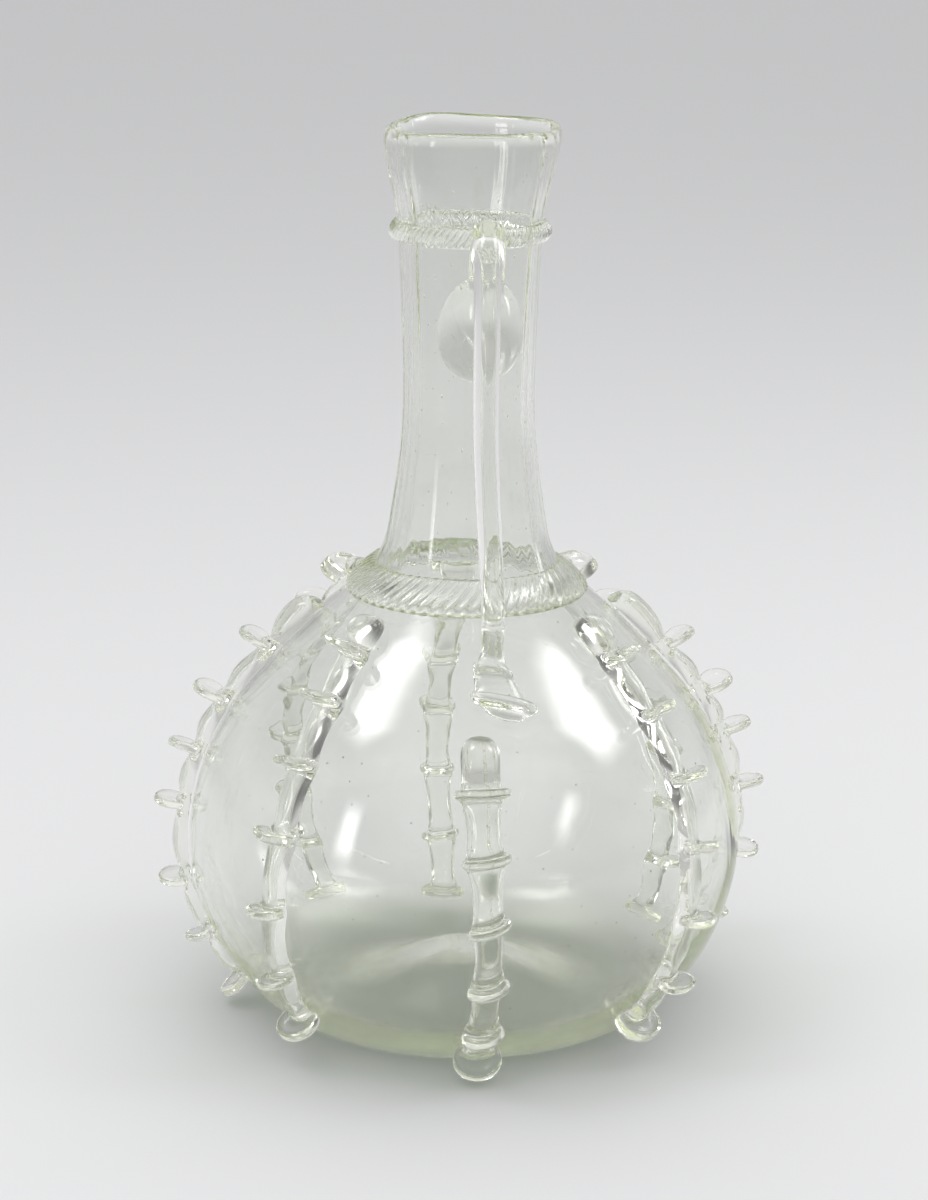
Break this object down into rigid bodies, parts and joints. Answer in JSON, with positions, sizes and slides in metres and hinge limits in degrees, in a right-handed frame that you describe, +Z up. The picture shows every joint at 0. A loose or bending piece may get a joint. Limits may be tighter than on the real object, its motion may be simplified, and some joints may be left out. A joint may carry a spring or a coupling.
{
  "type": "glass carafe",
  "caption": "Free-blown glass carafe with a globe body, tall neck with pouring lip, looped handle, milled threads and pinched trails.",
  "frame": {"origin": "centre of the foot's standing ring, on the surface the carafe stands on", "axes": "+Z up along the neck, the handle on the -Y side, +X to the right of someone who faces the handle"},
  "size_m": [0.1764, 0.1772, 0.2537],
  "materials": {
    "vessel_glass": "clear free-blown glass with a faint green tint and small bubbles",
    "handle_glass": "clear drawn glass, fire polished",
    "thread_glass": "clear glass thread, milled with slanting notches",
    "trail_glass": "thick clear glass with a pale green tint, pinched while soft"
  },
  "bodies": {
    "root": {"blown_body": "vessel_glass", "neck_thread": "thread_glass", "shoulder_collar": "thread_glass", "handle": "handle_glass", "pinched_trail_1": "trail_glass", "pinched_trail_2": "trail_glass", "pinched_trail_3": "trail_glass", "pinched_trail_4": "trail_glass", "pinched_trail_5": "trail_glass", "pinched_trail_6": "trail_glass", "pinched_trail_7": "trail_glass", "pinched_trail_8": "trail_glass"}
  },
  "joints": []
}
